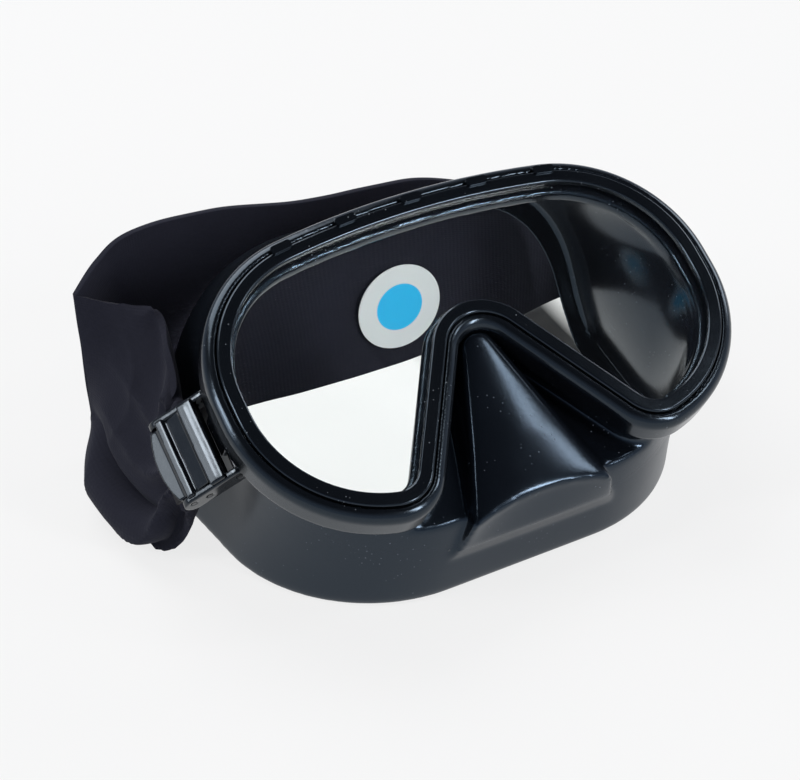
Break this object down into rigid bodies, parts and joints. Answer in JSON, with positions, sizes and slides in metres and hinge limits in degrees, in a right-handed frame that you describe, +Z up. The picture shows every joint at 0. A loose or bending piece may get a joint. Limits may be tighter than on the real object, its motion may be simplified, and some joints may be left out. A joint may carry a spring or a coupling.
{
  "type": "diving mask",
  "caption": "Single-lens diving mask covering eyes and nose, with a silicone skirt, swivelling side buckles and a wide fabric head strap.",
  "frame": {"origin": "centre of the footprint, on the surface that the mask lies on", "axes": "+X to the viewer's right across the lens and the strap, +Y from the lip towards the strap, +Z up from the surface"},
  "size_m": [0.1984, 0.1236, 0.0895],
  "materials": {
    "silicone": "glossy moulded silicone",
    "lens_clear": "clear polished",
    "frame_plastic": "gloss black",
    "buckle_plastic": "gloss black",
    "pin_steel": "black coated",
    "webbing": "satin elastic",
    "strap_fabric": "fine knit",
    "badge_print": "printed film"
  },
  "bodies": {
    "root": {"skirt": "silicone", "lens": "lens_clear", "main_frame": "frame_plastic", "retaining_ring": "frame_plastic", "ring_clips": "frame_plastic", "strap_band": "strap_fabric", "round_badge": "badge_print", "strap_end_left": "strap_fabric", "strap_end_right": "strap_fabric"},
    "buckle_left": {"buckle_body_left": "buckle_plastic", "swivel_pin_left": "pin_steel", "roller_axle_left": "pin_steel", "lever_pin_left": "pin_steel", "webbing_left": "webbing"},
    "roller_left": {"strap_roller_left": "buckle_plastic"},
    "lever_left": {"release_lever_left": "buckle_plastic"},
    "buckle_right": {"buckle_body_right": "buckle_plastic", "swivel_pin_right": "pin_steel", "roller_axle_right": "pin_steel", "lever_pin_right": "pin_steel", "webbing_right": "webbing"},
    "roller_right": {"strap_roller_right": "buckle_plastic"},
    "lever_right": {"release_lever_right": "buckle_plastic"}
  },
  "joints": [
    {"name": "buckle_swivel_left", "type": "hinge", "parent": "root", "child": "buckle_left", "pos_m": [-0.0806, -0.01242, 0.05278], "axis": [0, -0.8969, -0.4421], "range_deg": [-15, 45]},
    {"name": "roller_spin_left", "type": "hinge", "parent": "buckle_left", "child": "roller_left", "pos_m": [-0.08907, -0.00938, 0.04663], "axis": [0, -0.8969, -0.4421], "continuous": true},
    {"name": "lever_press_left", "type": "hinge", "parent": "buckle_left", "child": "lever_left", "pos_m": [-0.09376, -0.0085, 0.04484], "axis": [0, 0.8969, 0.4421], "range_deg": [0, 30], "stiffness_Nm_per_rad": 0.02, "springref_deg": -8.59},
    {"name": "buckle_swivel_right", "type": "hinge", "parent": "root", "child": "buckle_right", "pos_m": [0.0806, -0.01242, 0.05278], "axis": [0, 0.8969, 0.4421], "range_deg": [-52, 8]},
    {"name": "roller_spin_right", "type": "hinge", "parent": "buckle_right", "child": "roller_right", "pos_m": [0.08324, -0.00774, 0.04329], "axis": [0, 0.8969, 0.4421], "continuous": true},
    {"name": "lever_press_right", "type": "hinge", "parent": "buckle_right", "child": "lever_right", "pos_m": [0.08578, -0.00579, 0.03933], "axis": [0, -0.8969, -0.4421], "range_deg": [0, 30], "stiffness_Nm_per_rad": 0.02, "springref_deg": -8.59}
  ]
}
